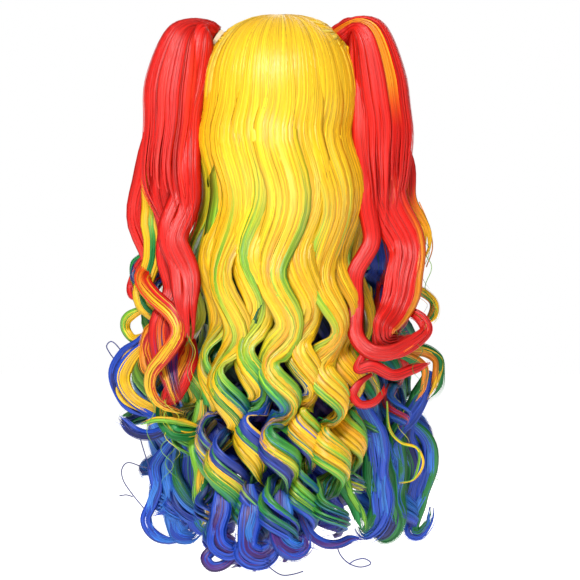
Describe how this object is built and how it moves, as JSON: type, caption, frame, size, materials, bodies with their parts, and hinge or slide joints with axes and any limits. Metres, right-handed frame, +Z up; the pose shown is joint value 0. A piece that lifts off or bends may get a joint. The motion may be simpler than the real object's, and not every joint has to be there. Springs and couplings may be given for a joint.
{
  "type": "curly wig",
  "caption": "Long curly wig on a hollow cap, with yellow hair that turns green, blue and purple, and red clip-on ponytails at the sides.",
  "frame": {"origin": "the inside of the cap at the crown, where the top of the head bears", "axes": "+Z up, -Y towards the back of the wig, which the picture shows, and +X to the right of that view"},
  "size_m": [0.3533, 0.2472, 0.608],
  "materials": {
    "cap_net": "plain sewn net and lace",
    "crown_fibre": "smooth glossy synthetic hair, yellow with coloured ends",
    "nape_fibre": "smooth glossy synthetic hair, green to blue and purple",
    "side_fibre": "smooth glossy synthetic hair, yellow to green and blue",
    "ponytail_fibre": "smooth glossy synthetic hair, red with mixed ends",
    "clip_plastic": "smooth cream moulding"
  },
  "bodies": {
    "root": {"wig_cap": "cap_net", "crown_hair": "crown_fibre", "nape_hair": "nape_fibre", "side_hair_left": "side_fibre", "side_hair_right": "side_fibre", "ponytail_left": "ponytail_fibre", "ponytail_right": "ponytail_fibre", "claw_clip_left": "clip_plastic", "claw_clip_right": "clip_plastic"}
  },
  "joints": []
}
